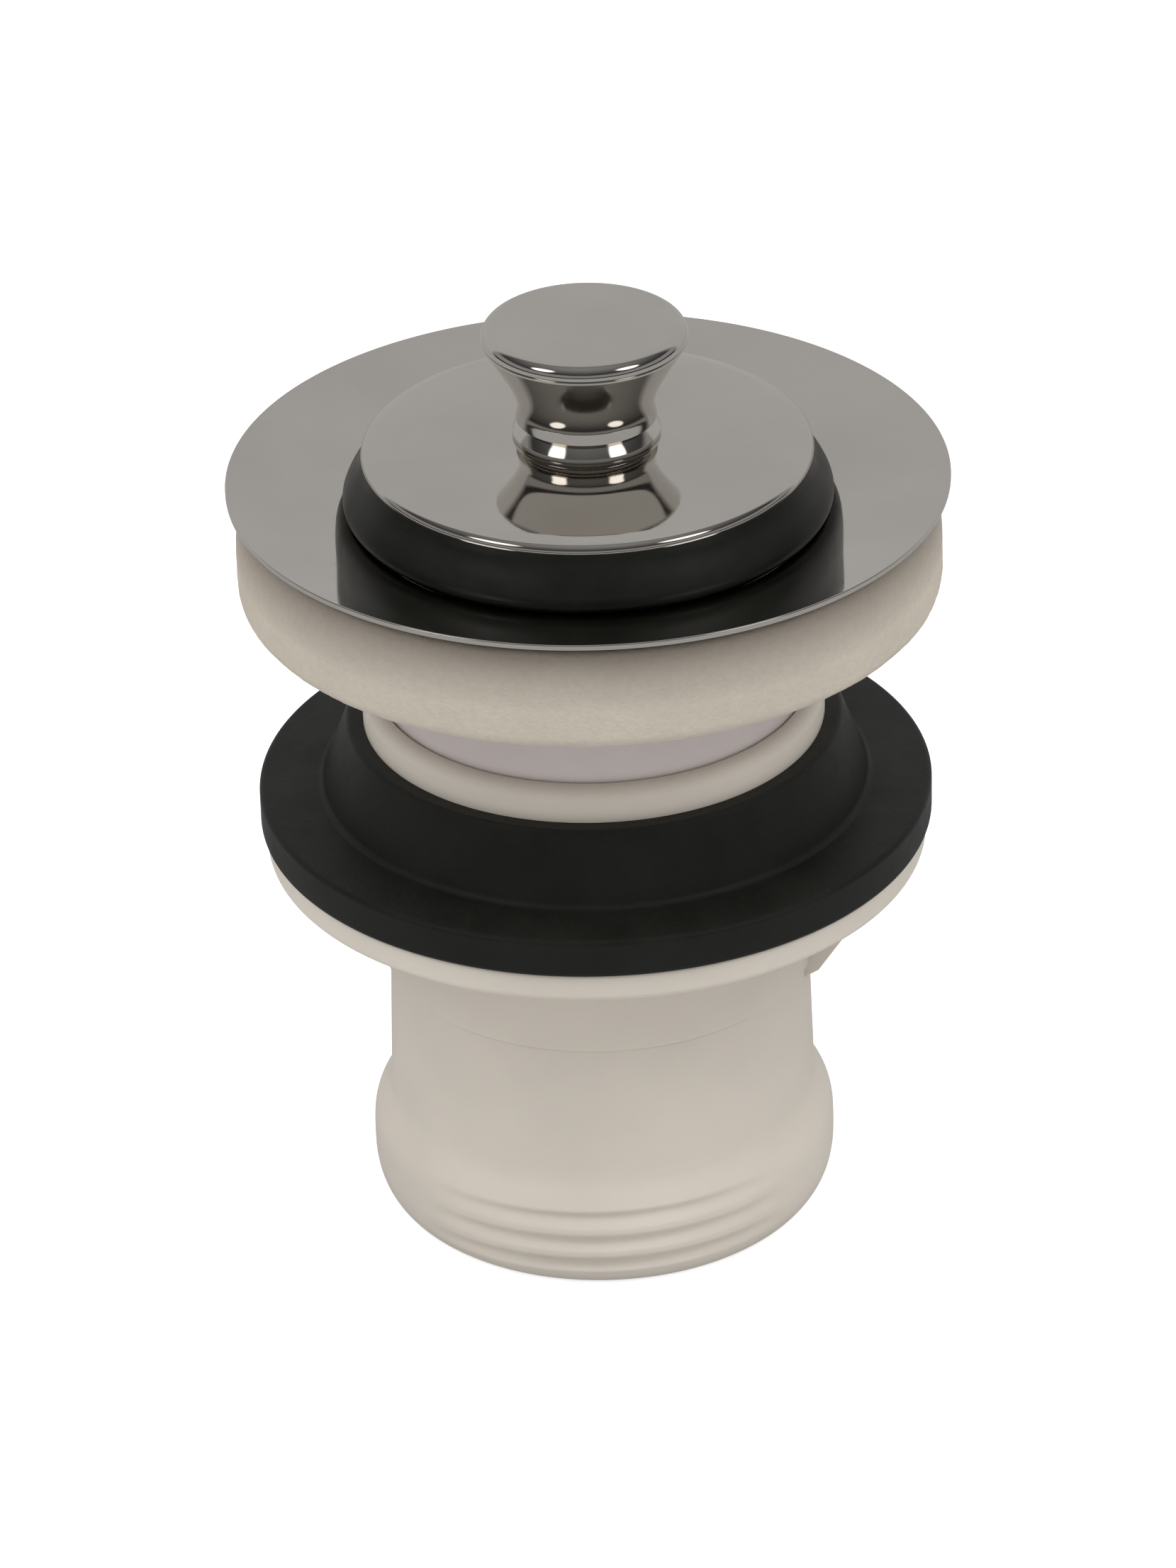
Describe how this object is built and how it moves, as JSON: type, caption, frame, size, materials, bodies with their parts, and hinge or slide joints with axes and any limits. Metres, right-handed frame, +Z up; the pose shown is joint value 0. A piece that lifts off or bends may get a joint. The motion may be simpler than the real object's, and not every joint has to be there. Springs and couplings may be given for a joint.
{
  "type": "basin waste",
  "caption": "Basin waste in two halves drawn together by a centre screw, with foam ring, tapered gasket, dished chromed flange and a lift-up stopper with a spool knob.",
  "frame": {"origin": "on the waste's axis, at the lower end of the tail thread", "axes": "+Z up along the axis, out of the basin; +X to the right of the pictured view; -Y towards the viewer"},
  "size_m": [0.063, 0.063, 0.0855],
  "materials": {
    "chrome": "polished chrome plate",
    "seal_rubber": "smooth moulded rubber with a soft sheen",
    "gasket_rubber": "matt moulded rubber",
    "foam": "fine closed-cell foam",
    "tube_plastic": "greyish white moulded plastic",
    "white_plastic": "off-white moulded plastic",
    "acetal": "white acetal",
    "brass": "turned brass",
    "steel": "bright stainless steel"
  },
  "bodies": {
    "tail": {"lower_body": "white_plastic", "threaded_insert": "brass", "basin_gasket": "gasket_rubber"},
    "top": {"upper_tube": "tube_plastic", "tube_o_ring": "seal_rubber", "foam_washer": "foam", "top_flange": "chrome", "guide_post": "brass", "post_o_rings": "seal_rubber", "screw_washer": "steel"},
    "screw": {"clamp_screw": "steel"},
    "bush": {"guide_bush": "acetal"},
    "stopper": {"guide_sleeve": "brass", "bush_clip": "steel", "lock_nut": "brass", "retainer_washer": "steel", "seal_retainer": "acetal", "stopper_seal": "seal_rubber", "stopper_disc": "chrome", "knob_o_ring": "seal_rubber", "knob": "chrome"}
  },
  "joints": [
    {"name": "clamp_slide", "type": "slide", "parent": "tail", "child": "top", "axis": [0, 0, 1], "range_m": [-0.0082, 0.01]},
    {"name": "screw_turn", "type": "hinge", "parent": "top", "child": "screw", "pos_m": [0, 0, 0.0693], "axis": [0, 0, 1], "range_deg": [-2953, 3601]},
    {"name": "stopper_lift", "type": "slide", "parent": "top", "child": "bush", "axis": [0, 0, 1], "range_m": [0, 0.01]},
    {"name": "stopper_turn", "type": "hinge", "parent": "bush", "child": "stopper", "pos_m": [0, 0, 0.05], "axis": [0, 0, 1], "continuous": true}
  ],
  "couplings": [
    {"joint": "screw_turn", "follows": "clamp_slide", "rad_per_m": 6283.2}
  ]
}
